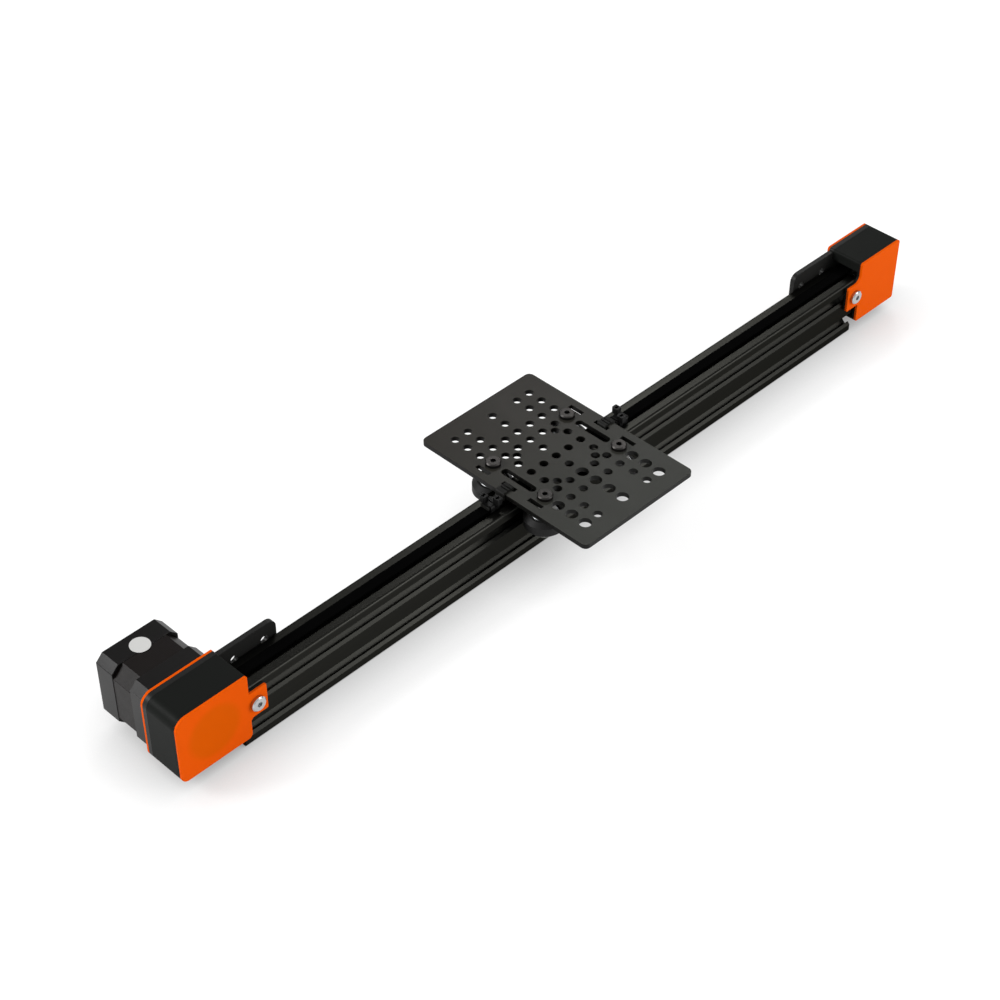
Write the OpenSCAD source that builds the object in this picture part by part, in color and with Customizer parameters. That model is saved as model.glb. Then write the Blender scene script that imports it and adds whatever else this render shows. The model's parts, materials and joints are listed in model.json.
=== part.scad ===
// Belt driven linear axis: a carriage plate runs on four V wheels along a slotted rail and is
// pulled by a toothed belt between a motor block and an idler block.
// The rail lies along X. The origin is the middle of its underside, +Z is up and the motor
// hangs on the +Y side.

/* [Rail] */
// Length of the rail
rail_length = 500; // [400:10:800]
// Width of the rail
rail_width = 20; // [20:0.5:22]
// Height of the rail, two slots tall
rail_height = 40; // [40:0.5:42]
// Width of a V slot at the face of the rail
slot_mouth = 9.16; // [9:0.02:9.3]
// Width of a V slot at its neck
slot_neck = 6.25; // [6:0.05:6.4]
// Thickness of the lips beside the neck
slot_lip = 1.8; // [1.7:0.05:1.9]
// Width of the room behind the lips
slot_room = 11; // [10.8:0.1:11.2]
// Width of the floor of a slot
slot_floor = 5.7; // [5.5:0.1:5.9]
// Depth of a slot
slot_depth = 6.1; // [6:0.05:6.2]
// Distance from the rail's underside to the middle of its lower side slots, and from its top to
// the middle of the upper ones
slot_height = 10; // [9.9:0.05:10.1]
// Diameter of the two bores along the rail
core_bore_d = 4.2; // [4:0.1:4.6]
// Radius of the long edges of the rail
rail_edge_r = 1.5; // [0.5:0.1:2]
// Thickness of the webs between the slots and the middle channel
rail_web = 1.5; // [1.3:0.1:1.7]

/* [Carriage plate] */
// Place of the carriage along the rail at rest
carriage_x = -10.5; // [-100:0.5:100]
// Length of the plate along the rail
plate_length = 88; // [88:1:100]
// Width of the plate across the rail
plate_width = 127; // [124:1:140]
// Thickness of the plate
plate_thickness = 3; // [2.5:0.5:5]
// Radius of the corners of the plate
plate_corner_r = 3.5; // [1:0.5:6]
// Distance between neighbouring rows and columns of holes
hole_pitch = 10; // [10:0.1:10.4]
// Diameter of the small holes
small_hole_d = 5.1; // [5.1:0.1:5.5]
// Diameter of the large holes, which also take the eccentric collars
large_hole_d = 7.2; // [7.1:0.1:7.6]
// Length of the two long slots
long_slot_length = 25; // [15:0.5:27]
// Width of the two long slots
long_slot_width = 5; // [4:0.5:6]
// Length of a belt slot, across the belt
belt_slot_length = 10; // [8:0.5:12]
// Width of a belt slot
belt_slot_width = 2.8; // [2:0.1:3]
// Width of the strip between a belt slot and the edge of the plate
belt_strip = 5; // [4.5:0.1:6]

/* [Wheels] */
// Diameter of a wheel
wheel_d = 23.9; // [23.5:0.1:24.2]
// Width of a wheel
wheel_width = 10.2; // [9.6:0.1:10.8]
// Outer diameter of a ball bearing
bearing_d = 16; // [15:0.5:17]
// Width of a ball bearing
bearing_width = 5; // [4.8:0.1:5]
// Thickness of the shims between bearings and above them
shim_thickness = 1; // [0.8:0.1:1.2]
// Length of the spacers between shim and plate
spacer_length = 6.7; // [6.4:0.1:9]
// Outer diameter of the round spacers
spacer_d = 10; // [8:0.5:12]
// Distance across the flats of an eccentric spacer
eccentric_flats = 10; // [9:0.5:11]
// Shift of an eccentric spacer's bore from its middle
eccentric_throw = 0.4; // [0.2:0.1:0.6]
// Diameter of the M5 screws
m5_d = 5; // [4.8:0.1:5]
// Length of the screws that carry the wheels
wheel_screw_length = 28; // [27:0.5:32]
// Distance across the flats of a lock nut
nut_flats = 8; // [7.5:0.5:9]
// Height of a lock nut
nut_height = 5; // [4:0.5:6]

/* [End blocks] */
// Height of both end blocks
block_height = 43.6; // [43.6:0.2:46]
// Length of the motor block
motor_block_length = 46; // [44:0.5:50]
// Length of the idler block
idler_block_length = 38.2; // [36:0.2:44]
// How far the motor block's plates reach over the rail
motor_block_overlap = 2.7; // [1:0.1:5]
// Least gap between the idler block and the rail's end
idler_gap = 1; // [0.5:0.1:4]
// Thickness of the sheet metal plates
sheet_thickness = 1.5; // [1:0.1:2]
// Thickness of the rear brackets
bracket_thickness = 3; // [2.5:0.1:3.5]
// Wall of the covers
cover_wall = 1.8; // [1.4:0.1:2.2]
// Height of the belt's passage between the rail's top and a cover's lip
belt_passage = 4.5; // [4.5:0.1:7]
// Length of the tabs that hold the front plates
tab_length = 11.5; // [11:0.5:16]
// Height of the tabs
tab_height = 17.2; // [14:0.2:18]
// Distance from a block to the screw in its tab
tab_screw_inset = 4.5; // [4.3:0.1:5]
// Length of the brackets' ears beside the rail
ear_length = 38.3; // [36:0.1:42]
// Height of the ears
ear_height = 40; // [36:1:42]
// Distance from a block to the first column of holes in its ear
ear_first_hole = 10.1; // [9:0.1:11]
// Distance between the two columns and half the distance between the outer rows
ear_hole_pitch = 20.1; // [19:0.1:21]
// Diameter of the holes for M5 screws in tabs and ears
clearance_hole_d = 5.2; // [5.1:0.1:5.6]
// Length of a slot nut
slot_nut_length = 10; // [8:0.5:11]
// Length of the screws in the slots
slot_screw_length = 8; // [7.5:0.1:8.5]

/* [Belt drive] */
// Pitch of the belt's teeth
belt_pitch = 2; // [2, 3]
// Width of the belt
belt_width = 6; // [5:0.5:6]
// Thickness of the belt's backing
belt_backing = 0.63; // [0.5:0.01:0.8]
// Height of the belt's teeth
belt_tooth = 0.75; // [0.6:0.05:0.8]
// Outer radius of both toothed wheels
pulley_r = 11.205; // [11:0.005:11.4]
// Number of teeth on both toothed wheels
pulley_teeth = 36; // [30:1:36]
// Width of the toothed part
pulley_face = 7.2; // [6.8:0.1:7.6]
// Diameter of the flanges
flange_d = 27; // [25:0.5:28]
// Thickness of a flange
flange_thickness = 1.2; // [1:0.1:1.4]
// Diameter of the drive pulley's hub
hub_d = 16; // [13:0.5:18]
// Length of the drive pulley's hub
hub_length = 4.5; // [4:0.1:4.6]
// Diameter of the motor's shaft and the idler's axle
shaft_d = 5; // [4.8:0.1:5]
// How far a belt end reaches past the plate's edge
belt_tail = 13; // [13:0.5:20]
// Distance from the plate's edge to the first of a belt end's two cable ties
tie_inset = 4.8; // [4.6:0.1:5]
// Width of a cable tie's band
tie_width = 3; // [2.5:0.1:3.2]
// Thickness of a cable tie's band
tie_thickness = 0.75; // [0.6:0.05:0.8]

/* [Motor] */
// Side of the motor's square face
motor_side = 42.3; // [41:0.1:43]
// Length of the motor's front cap
front_cap_length = 10.5; // [9:0.5:12]
// Length of the motor's lamination stack
stack_length = 14.5; // [10:0.5:24]
// Length of the motor's rear cap
rear_cap_length = 13; // [11:0.5:15]
// Bevel on the corners of the caps
cap_bevel = 4.5; // [3:0.5:5]
// Bevel on the corners of the stack
stack_bevel = 7; // [6:0.5:8]
// Diameter of the motor's pilot
pilot_d = 22; // [20:0.5:22.5]
// Height of the pilot
pilot_height = 2; // [1.6:0.1:2.4]
// Distance between the motor's screws
motor_screw_pitch = 31; // [30:0.5:31]

/* [Hidden] */
$fn = 96;

// Radial play of a pin or screw in its bore, and axial play of what turns
running_fit = 0.05;
// Gap between a wheel's flanks and the slot, square to the flank
wheel_gap = 0.1;
// Gap between the belt and the tips of the pulleys' teeth
belt_gap = 0.1;
// Gap between pieces that pass each other
pass_gap = 0.3;
// How far a cut runs past the face that it leaves
cut = 1;
// How far joined shapes run into each other
lap = 0.5;
// Wider play about the motor's pilot and about its sunk screw heads
pilot_play = 0.1;
head_play = 0.2;

// Colours of the materials
black_anodised = "#2b2b2d";
black_plastic = "#1c1d1c";
orange_coat = "#e85a08";
bright_steel = "#c4c6c8";
dark_steel = "#3a3a3c";
belt_rubber = "#0c0c0d";
machined_aluminium = "#b9bcc0";

// Slots
wheel_z = rail_height - slot_height;
slot_neck_depth = (slot_mouth - slot_neck) / 2;
slot_shoulder = slot_depth - (slot_room - slot_floor) / 2;
rail_core = rail_width / 2 - slot_depth;

// Faces across the rail, as distances from its middle plane
side_face = rail_width / 2;
liner_face = side_face + sheet_thickness;
front_face = liner_face + sheet_thickness;
bracket_face = side_face + bracket_thickness;
motor_face = bracket_face + sheet_thickness;

// End blocks: radii of the corners in the order outer bottom, inner bottom, inner top, outer
// top, and radii of the fillets beside the tabs
motor_block_radii = [4.5, 3, 1, 7];
idler_block_radii = [1.25, 1.25, 1.75, 1.25];
motor_tab_fillet_r = 2.5;
idler_tab_fillet_r = 4.5;

// Belt and pulleys
belt_land_r = pulley_r + belt_gap;
belt_back_r = belt_land_r + belt_backing;
belt_thickness = belt_backing + belt_tooth;
pulley_half = pulley_face / 2 + flange_thickness;
pulley_z = wheel_z;
motor_x = -(rail_length / 2 - motor_block_overlap + motor_block_length / 2);
least_centres = rail_length / 2 + idler_gap + idler_block_length / 2 - motor_x;
belt_step = belt_pitch / 2;
centres = ceil(least_centres / belt_step) * belt_step;
idler_x = motor_x + centres;
belt_run_top = pulley_z + belt_back_r;
// Half widths of a tooth of the belt at its root and at its tip
tooth_root = 0.65;
tooth_tip = 0.4;
// The pulleys' grooves are round and about as wide as a tooth
groove_r = 0.85 * tooth_root;
// Grooves between the teeth of a belt end
belt_gullet = belt_pitch / 2 - 0.1;
// The belt ends' tails lie over the belt's upper run with a small gap
tail_z = belt_run_top + pass_gap;
// Gap between the bands of a belt end's two cable ties, and the distance between the ties
tie_gap = 0.7;
tie_pitch = tie_width + tie_gap;

// Carriage
wheel_y = 2 * hole_pitch;
wheel_column = 3 * hole_pitch;
bearing_stack = 2 * bearing_width + shim_thickness;
spacer_z = wheel_z + bearing_stack / 2 + shim_thickness;
plate_z = spacer_z + spacer_length;
plate_top = plate_z + plate_thickness;
nut_z = wheel_z - bearing_stack / 2 - running_fit - nut_height;
rim_half = wheel_y - wheel_d / 2 - side_face + slot_mouth / 2 - wheel_gap * sqrt(2);
belt_slot_x = plate_length / 2 - belt_strip - belt_slot_width / 2;
m5_bore_d = m5_d + 2 * running_fit;
// The four wheels: [side of the rail, end of the carriage]
wheel_places = [[1, -1], [1, 1], [-1, -1], [-1, 1]];

// Holes of the plate, one row at a time: [row, columns of small holes, columns of large holes],
// in steps of the pitch from the middle of the plate; the wheels' own holes are drilled apart
hole_rows = [
    [5, [-3, -2, 0, 2, 3], []],
    [4, [-3, -2, 0, 2, 3], []],
    [3, [-3, -2, -1, 0, 1, 2, 3], []],
    [2, [-2, -1, 0, 1, 2], []],
    [1, [-2, 0, 2], []],
    [0, [-2, -1, 0, 1, 2], []],
    [-1, [-2, 0, 2], []],
    [-2, [-2, -1, 1, 2], [0]],
    [-3, [-2, -1, 1, 2], [-3, 0, 3]],
    [-4, [-2, 2], [-3, 0, 3]],
    [-5, [-2, 2], [-3, 0, 3]]
];

// Screws: [diameter, head diameter, head height, socket across the flats]
m5_screw = [m5_d, 9, 2.4, 3];
m3_screw = [3, 5.7, 1.8, 2];
m3_bore_d = m3_screw[0] + 2 * running_fit;
m3_hole_d = 3.4;

// Motor: its pieces one behind the other, from the face on the block to the rear end
stack_y = motor_face + front_cap_length;
rear_cap_y = stack_y + stack_length;
motor_end = rear_cap_y + rear_cap_length;
// How deep the heads of the long screws are sunk, and how far the screws reach into the front cap
screw_sink = 2.2;
screw_grip = 4;
body_screw_length = motor_end - screw_sink - stack_y + screw_grip;
mount_screw_length = 8;

// Lead socket in the side of the rear cap that looks along the rail
socket_width = 15;
socket_depth = 7;
socket_sink = 3;
socket_proud = 2.5;
socket_wall = 0.9;
socket_pins = 6;
pin_pitch = 2;
pin_side = 0.5;

// ---------------------------------------------------------------- shared shapes

// Extrudes a drawing in the XZ plane from y0 to y1
module across(y0, y1) {
    translate([0, y1, 0]) rotate([90, 0, 0]) linear_extrude(y1 - y0) children();
}

// Extrudes a drawing in the YZ plane from x0 to x1
module along(x0, x1) {
    translate([x0, 0, 0]) rotate([90, 0, 90]) linear_extrude(x1 - x0) children();
}

// Draws in a block's own place: the pulley's axis is the origin and +X looks at the rail
module at_motor_block() {
    translate([motor_x, 0, pulley_z]) children();
}

module at_idler_block() {
    translate([idler_x, 0, pulley_z]) mirror([1, 0, 0]) children();
}

// Rectangle about the origin with a radius of its own at each corner, in the order
// left bottom, right bottom, right top, left top
module rounded_rectangle(size, radii) {
    difference() {
        square(size, center = true);
        for (i = [0:3]) {
            left = i == 0 || i == 3;
            low = i < 2;
            mirror([left ? 1 : 0, 0]) mirror([0, low ? 1 : 0])
                translate([size.x / 2 - radii[i], size.y / 2 - radii[i]])
                    difference() {
                        square(radii[i] + cut);
                        circle(radii[i]);
                    }
        }
    }
}

// Fillet in the inner corner at the origin, with its walls along +X and +Y
module fillet(r) {
    difference() {
        translate([-lap, -lap]) square(r + lap);
        translate([r, r]) circle(r);
    }
}

// Square with bevelled corners
module bevelled_square(side, bevel) {
    h = side / 2;
    c = h - bevel;
    polygon([[h, -c], [h, c], [c, h], [-c, h], [-h, c], [-h, -c], [-c, -h], [c, -h]]);
}

// Round tube between two heights
module tube(outer_d, inner_d, z0, z1) {
    translate([0, 0, z0]) difference() {
        cylinder(d = outer_d, h = z1 - z0);
        translate([0, 0, -cut]) cylinder(d = inner_d, h = z1 - z0 + 2 * cut);
    }
}

// Low head screw: it points down and its head stands on the XY plane
module low_screw(size, length) {
    head_r = size[1] / 2;
    head_h = size[2];
    bevel = head_h / 4;
    socket_floor = head_h * 0.35;
    difference() {
        union() {
            rotate_extrude() polygon([
                [0, 0], [head_r, 0], [head_r, head_h - bevel], [head_r - bevel, head_h], [0, head_h]
            ]);
            translate([0, 0, -length]) cylinder(d = size[0], h = length + lap);
        }
        translate([0, 0, socket_floor]) cylinder(d = size[3] / cos(30), h = head_h, $fn = 6);
    }
}

// Ball bearing about the Z axis between z0 and z0 + bearing_width, with sunk shields
module bearing(z0) {
    shield = 0.3;
    ring = 1.3;
    bore_r = m5_bore_d / 2;
    outer_r = bearing_d / 2;
    inner_land = bore_r + ring;
    outer_land = outer_r - ring;
    top = bearing_width;
    translate([0, 0, z0]) rotate_extrude() polygon([
        [bore_r, 0], [inner_land, 0], [inner_land, shield], [outer_land, shield], [outer_land, 0],
        [outer_r - shield, 0], [outer_r, shield], [outer_r, top - shield], [outer_r - shield, top],
        [outer_land, top], [outer_land, top - shield], [inner_land, top - shield],
        [inner_land, top], [bore_r, top]
    ]);
}

// Two bearings with a shim's thickness between them, about the XY plane
module bearing_pair() {
    bearing(shim_thickness / 2);
    bearing(-shim_thickness / 2 - bearing_width);
}

// ---------------------------------------------------------------- rail and belt

// Section of a V slot: its mouth is on the X axis and its floor is below
module slot_section() {
    right = [
        [slot_mouth / 2, cut], [slot_mouth / 2, 0], [slot_neck / 2, -slot_neck_depth],
        [slot_neck / 2, -slot_lip], [slot_room / 2, -slot_lip], [slot_room / 2, -slot_shoulder],
        [slot_floor / 2, -slot_depth]
    ];
    left = [for (i = [len(right) - 1:-1:0]) [-right[i].x, right[i].y]];
    polygon(concat(right, left));
}

// Section of the channel between the rail's upper and lower slots, about the origin
module channel_section() {
    side = side_face - slot_lip;
    core_skin = 0.5;
    ledge = rail_height / 2 - slot_height - slot_room / 2 - rail_web;
    floor_z = ledge + slot_room / 2 + rail_web - rail_core - core_skin;
    ledge_y = side_face - slot_shoulder + rail_web - rail_web * sqrt(2);
    floor_y = ledge_y - (floor_z - ledge);
    quarter = [[side, ledge], [ledge_y, ledge], [floor_y, floor_z]];
    back = [for (i = [2:-1:0]) quarter[i]];
    polygon(concat(
        quarter,
        [for (p = back) [-p.x, p.y]],
        [for (p = quarter) [-p.x, -p.y]],
        [for (p = back) [p.x, -p.y]]
    ));
}

module rail_section() {
    difference() {
        translate([0, rail_height / 2])
            rounded_rectangle([rail_width, rail_height], [for (i = [0:3]) rail_edge_r]);
        translate([0, rail_height]) slot_section();
        rotate(180) slot_section();
        for (z = [slot_height, wheel_z]) {
            translate([side_face, z]) rotate(-90) slot_section();
            translate([-side_face, z]) rotate(90) slot_section();
            translate([0, z]) circle(d = core_bore_d);
        }
        translate([0, rail_height / 2]) channel_section();
    }
}

module rail() {
    color(black_anodised) along(-rail_length / 2, rail_length / 2) rail_section();
}

// Teeth of one straight run as a step line from the motor's side to the idler's: the line lies
// on the land and dips by a tooth's height at each pitch
function tooth_line(count) = [
    for (i = [1:count], p = [[-tooth_root, 0], [-tooth_tip, 1], [tooth_tip, 1], [tooth_root, 0]])
        [motor_x + i * belt_pitch + p.x, p.y * belt_tooth]
];

// The inside of the belt loop between its two pulleys, with the teeth left standing
module belt_inside() {
    upper = tooth_line(floor(centres / belt_pitch) - 1);
    count = len(upper);
    polygon(concat(
        [[motor_x, -belt_land_r], [motor_x, belt_land_r]],
        [for (p = upper) [p.x, belt_land_r - p.y]],
        [[idler_x, belt_land_r], [idler_x, -belt_land_r]],
        [for (i = [count - 1:-1:0]) [upper[i].x, upper[i].y - belt_land_r]]
    ));
}

module belt() {
    color(belt_rubber) translate([0, 0, pulley_z]) across(-belt_width / 2, belt_width / 2)
        difference() {
            union() {
                translate([motor_x, -belt_back_r]) square([centres, 2 * belt_back_r]);
                for (x = [motor_x, idler_x]) translate([x, 0]) circle(belt_back_r);
            }
            belt_inside();
            for (x = [motor_x, idler_x]) translate([x, 0]) circle(belt_land_r);
        }
}

// ---------------------------------------------------------------- end blocks

module motor_block_outline() {
    rounded_rectangle([motor_block_length, block_height], motor_block_radii);
}

module idler_block_outline() {
    rounded_rectangle([idler_block_length, block_height], idler_block_radii);
}

// Tab on the inner side of a block, with a fillet below or above it and a screw hole
module tab_outline(block_length, fillet_r, fillet_above) {
    tab_corner_r = 1;
    x0 = block_length / 2;
    translate([x0 + (tab_length - lap) / 2, 0])
        rounded_rectangle([tab_length + lap, tab_height], [0, tab_corner_r, tab_corner_r, 0]);
    mirror([0, fillet_above ? 0 : 1]) translate([x0, tab_height / 2]) fillet(fillet_r);
}

module tab_hole(block_length) {
    translate([block_length / 2 + tab_screw_inset, 0]) circle(d = clearance_hole_d);
}

// Front plate or liner of the motor block
module motor_front_outline() {
    difference() {
        union() {
            motor_block_outline();
            tab_outline(motor_block_length, motor_tab_fillet_r, false);
        }
        tab_hole(motor_block_length);
    }
}

// Front plate or liner of the idler block
module idler_front_outline() {
    difference() {
        union() {
            idler_block_outline();
            tab_outline(idler_block_length, idler_tab_fillet_r, true);
        }
        tab_hole(idler_block_length);
    }
}

module front_plate_motor() {
    color(orange_coat) at_motor_block() across(-front_face, -liner_face) motor_front_outline();
}

module front_liner_motor() {
    color(black_plastic) at_motor_block() across(-liner_face, -side_face) motor_front_outline();
}

module front_plate_idler() {
    color(orange_coat) at_idler_block() across(-front_face, -liner_face) idler_front_outline();
}

module front_liner_idler() {
    color(black_plastic) at_idler_block() across(-liner_face, -side_face) difference() {
        idler_front_outline();
        axle_hole();
    }
}

// Cover: a wall that follows a block's outline. Its inner end is open for the rail and the
// belt up to a lip under the top, and its floor stops short of the rail's end
module cover_outline(block_length, radii, rail_end) {
    inner = [for (r = radii) max(r - cover_wall, 0.2)];
    inner_height = block_height - 2 * cover_wall;
    lip_z = rail_height + belt_passage - pulley_z;
    floor_end = rail_end - pass_gap;
    difference() {
        rounded_rectangle([block_length, block_height], radii);
        rounded_rectangle([block_length - 2 * cover_wall, inner_height], inner);
        translate([block_length / 2 - cover_wall - lap, -inner_height / 2])
            square([cover_wall + lap + cut, inner_height / 2 + lip_z]);
        translate([floor_end, -block_height / 2 - cut])
            square([block_length, cover_wall + cut + lap]);
    }
}

module cover_motor() {
    color(black_plastic) at_motor_block() across(-side_face, side_face)
        cover_outline(motor_block_length, motor_block_radii, -rail_length / 2 - motor_x);
}

module cover_idler() {
    color(black_plastic) at_idler_block() across(-side_face, side_face)
        cover_outline(idler_block_length, idler_block_radii, idler_x - rail_length / 2);
}

// Columns of holes in a bracket's ear, from the pulley's axis
function ear_columns(block_length) =
    [for (i = [0, 1]) block_length / 2 + ear_first_hole + i * ear_hole_pitch];

// Ear of a bracket beside the rail
module ear_outline(block_length) {
    ear_corner_r = 5;
    translate([block_length / 2 + (ear_length - lap) / 2, 0])
        rounded_rectangle([ear_length + lap, ear_height], [0, ear_corner_r, ear_corner_r, 0]);
}

module ear_holes(block_length) {
    for (x = ear_columns(block_length), row = [-1:1])
        translate([x, row * ear_hole_pitch / 2]) circle(d = clearance_hole_d);
}

// Places of the motor's four screws about its shaft
module at_motor_screws() {
    for (x = [-1, 1], z = [-1, 1])
        translate([x * motor_screw_pitch / 2, z * motor_screw_pitch / 2]) children();
}

// Pilot and screw holes of the motor
module motor_holes() {
    circle(d = pilot_d + 2 * pilot_play);
    at_motor_screws() circle(d = m3_hole_d);
}

module axle_hole() {
    circle(d = shaft_d + 2 * running_fit);
}

module rear_bracket_motor() {
    color(black_anodised) at_motor_block() across(side_face, bracket_face) difference() {
        union() {
            motor_block_outline();
            ear_outline(motor_block_length);
        }
        ear_holes(motor_block_length);
        motor_holes();
    }
}

module rear_bracket_idler() {
    color(black_anodised) at_idler_block() across(side_face, bracket_face) difference() {
        union() {
            idler_block_outline();
            ear_outline(idler_block_length);
        }
        ear_holes(idler_block_length);
        axle_hole();
    }
}

module rear_plate_motor() {
    color(orange_coat) at_motor_block() across(bracket_face, motor_face) difference() {
        motor_block_outline();
        motor_holes();
    }
}

module rear_plate_idler() {
    color(orange_coat) at_idler_block() across(bracket_face, motor_face) idler_block_outline();
}

// ---------------------------------------------------------------- screws and nuts in the slots

// Screws of one block, as [place along the rail, side, face under the head]; inward is the
// direction from the block to the rail
function block_screws(x, inward, block_length) = concat(
    [[x + inward * (block_length / 2 + tab_screw_inset), -1, front_face]],
    [for (c = ear_columns(block_length)) [x + inward * c, 1, bracket_face]]
);

slot_screw_places = concat(
    block_screws(motor_x, 1, motor_block_length),
    block_screws(idler_x, -1, idler_block_length)
);

module slot_screws() {
    color(bright_steel) for (p = slot_screw_places)
        translate([p[0], p[1] * p[2], wheel_z]) rotate([-90 * p[1], 0, 0])
            low_screw(m5_screw, slot_screw_length);
}

// Slot nut behind the lips of a slot on the +Y side of the rail
module slot_nut() {
    play = 0.15;
    half = slot_room / 2 - 2 * play;
    shoulder = slot_shoulder - play;
    foot = slot_depth - 3 * play;
    foot_half = half - (foot - shoulder);
    difference() {
        along(-slot_nut_length / 2, slot_nut_length / 2) translate([side_face, 0]) rotate(-90)
            polygon([
                [half, -slot_lip], [half, -shoulder], [foot_half, -foot],
                [-foot_half, -foot], [-half, -shoulder], [-half, -slot_lip]
            ]);
        rotate([-90, 0, 0]) cylinder(d = m5_bore_d, h = side_face + cut);
    }
}

module slot_nuts() {
    color(bright_steel) for (p = slot_screw_places)
        translate([p[0], 0, wheel_z]) mirror([0, p[1] < 0 ? 1 : 0, 0]) slot_nut();
}

// ---------------------------------------------------------------- motor and drive pulley

module motor_front_cap() {
    color(black_plastic) at_motor_block() difference() {
        union() {
            across(motor_face, motor_face + front_cap_length) bevelled_square(motor_side, cap_bevel);
            across(motor_face - pilot_height, motor_face + lap) circle(d = pilot_d);
        }
        across(-side_face, motor_face + front_cap_length - lap) circle(d = shaft_d + 2 * running_fit);
        across(-side_face, motor_face + front_cap_length + cut) at_motor_screws() circle(d = m3_bore_d);
    }
}

module motor_stack() {
    recess = 0.3;
    color(dark_steel) at_motor_block() across(stack_y, rear_cap_y) difference() {
        bevelled_square(motor_side - 2 * recess, stack_bevel);
        at_motor_screws() circle(d = m3_bore_d);
    }
}

module motor_rear_cap() {
    color(black_plastic) at_motor_block() difference() {
        across(rear_cap_y, motor_end) bevelled_square(motor_side, cap_bevel);
        across(rear_cap_y - cut, motor_end + cut) at_motor_screws() circle(d = m3_bore_d);
        across(motor_end - screw_sink, motor_end + cut)
            at_motor_screws() circle(d = m3_screw[1] + 2 * head_play);
        across(rear_cap_y - cut, rear_cap_y + socket_depth) socket_place()
            square([2 * socket_sink, socket_width], center = true);
    }
}

module motor_body_screws() {
    color(bright_steel) at_motor_block() translate([0, motor_end - screw_sink, 0])
        rotate([-90, 0, 0]) at_motor_screws() low_screw(m3_screw, body_screw_length);
}

module motor_mount_screws() {
    color(bright_steel) at_motor_block() translate([0, side_face, 0])
        rotate([90, 0, 0]) at_motor_screws() low_screw(m3_screw, mount_screw_length);
}

module socket_place() {
    translate([motor_side / 2, -motor_side / 4]) children();
}

module motor_connector() {
    depth = socket_sink + socket_proud;
    pin_y = rear_cap_y + socket_depth / 2;
    color(black_plastic) at_motor_block() {
        difference() {
            across(rear_cap_y, rear_cap_y + socket_depth) socket_place()
                translate([socket_proud - depth / 2, 0])
                    square([depth, socket_width], center = true);
            across(rear_cap_y + socket_wall, rear_cap_y + socket_depth - socket_wall) socket_place()
                translate([depth / 2, 0])
                    square([depth, socket_width - 2 * socket_wall], center = true);
        }
        for (i = [0:socket_pins - 1])
            across(pin_y - pin_side / 2, pin_y + pin_side / 2) socket_place()
                translate([-lap, (i - (socket_pins - 1) / 2) * pin_pitch - pin_side / 2])
                    square([socket_proud, pin_side]);
    }
}

module motor_shaft() {
    flat = 0.5;
    front_end = lap - side_face;
    color(bright_steel) at_motor_block() difference() {
        across(front_end, motor_face + front_cap_length - 2 * lap) circle(d = shaft_d);
        across(front_end - cut, pulley_half) translate([-shaft_d, shaft_d / 2 - flat])
            square(2 * shaft_d);
    }
}

// Toothed wheel with two flanges, about the Y axis
module toothed_wheel() {
    half = pulley_face / 2;
    across(-half - lap / 2, half + lap / 2) difference() {
        circle(pulley_r);
        for (i = [0:pulley_teeth - 1])
            rotate(i * 360 / pulley_teeth) translate([pulley_r, 0]) circle(groove_r);
    }
    for (y = [-pulley_half, half])
        across(y, y + flange_thickness) circle(d = flange_d);
}

module at_grub_screws() {
    for (a = [0, 90]) rotate([0, a, 0]) translate([0, -pulley_half - hub_length / 2, 0]) children();
}

module drive_pulley() {
    color(machined_aluminium) at_motor_block() difference() {
        union() {
            toothed_wheel();
            across(-pulley_half - hub_length, -pulley_half + lap) circle(d = hub_d);
        }
        across(-side_face, side_face) circle(d = shaft_d);
        at_grub_screws() cylinder(d = m3_screw[0], h = hub_d);
    }
}

module pulley_grub_screws() {
    grub_length = 4;
    grub_socket = 1.5;
    color(dark_steel) at_motor_block() at_grub_screws() translate([0, 0, shaft_d / 2])
        difference() {
            cylinder(d = m3_screw[0], h = grub_length);
            translate([0, 0, grub_length / 2])
                cylinder(d = grub_socket / cos(30), h = grub_length, $fn = 6);
        }
}

// ---------------------------------------------------------------- idler

module idler_axle() {
    color(bright_steel) at_idler_block() across(-liner_face, bracket_face) circle(d = shaft_d);
}

module idler_spacers() {
    idler_spacer_d = 8;
    gap_start = bearing_stack / 2 + running_fit;
    color(bright_steel) at_idler_block() for (a = [90, -90])
        rotate([a, 0, 0]) tube(idler_spacer_d, m5_bore_d, gap_start, side_face);
}

module idler_wheel() {
    color(machined_aluminium) at_idler_block() difference() {
        toothed_wheel();
        across(-side_face, side_face) circle(d = bearing_d - 2 * shim_thickness);
        for (s = [[-side_face, -shim_thickness / 2], [shim_thickness / 2, side_face]])
            across(s[0], s[1]) circle(d = bearing_d);
    }
}

module idler_bearings() {
    color(bright_steel) at_idler_block() rotate([90, 0, 0]) bearing_pair();
}

// ---------------------------------------------------------------- carriage

module at_carriage() {
    translate([carriage_x, 0, 0]) children();
}

function wheel_place(w) = [w[1] * wheel_column, w[0] * wheel_y];

// Centre of the hole that an eccentric collar turns in
function eccentric_place(w) = wheel_place(w) + [0, w[0] * eccentric_throw];

module long_slot() {
    span = long_slot_length - long_slot_width;
    square([long_slot_width, span], center = true);
    for (s = [-1, 1]) translate([0, s * span / 2]) circle(d = long_slot_width);
}

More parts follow.
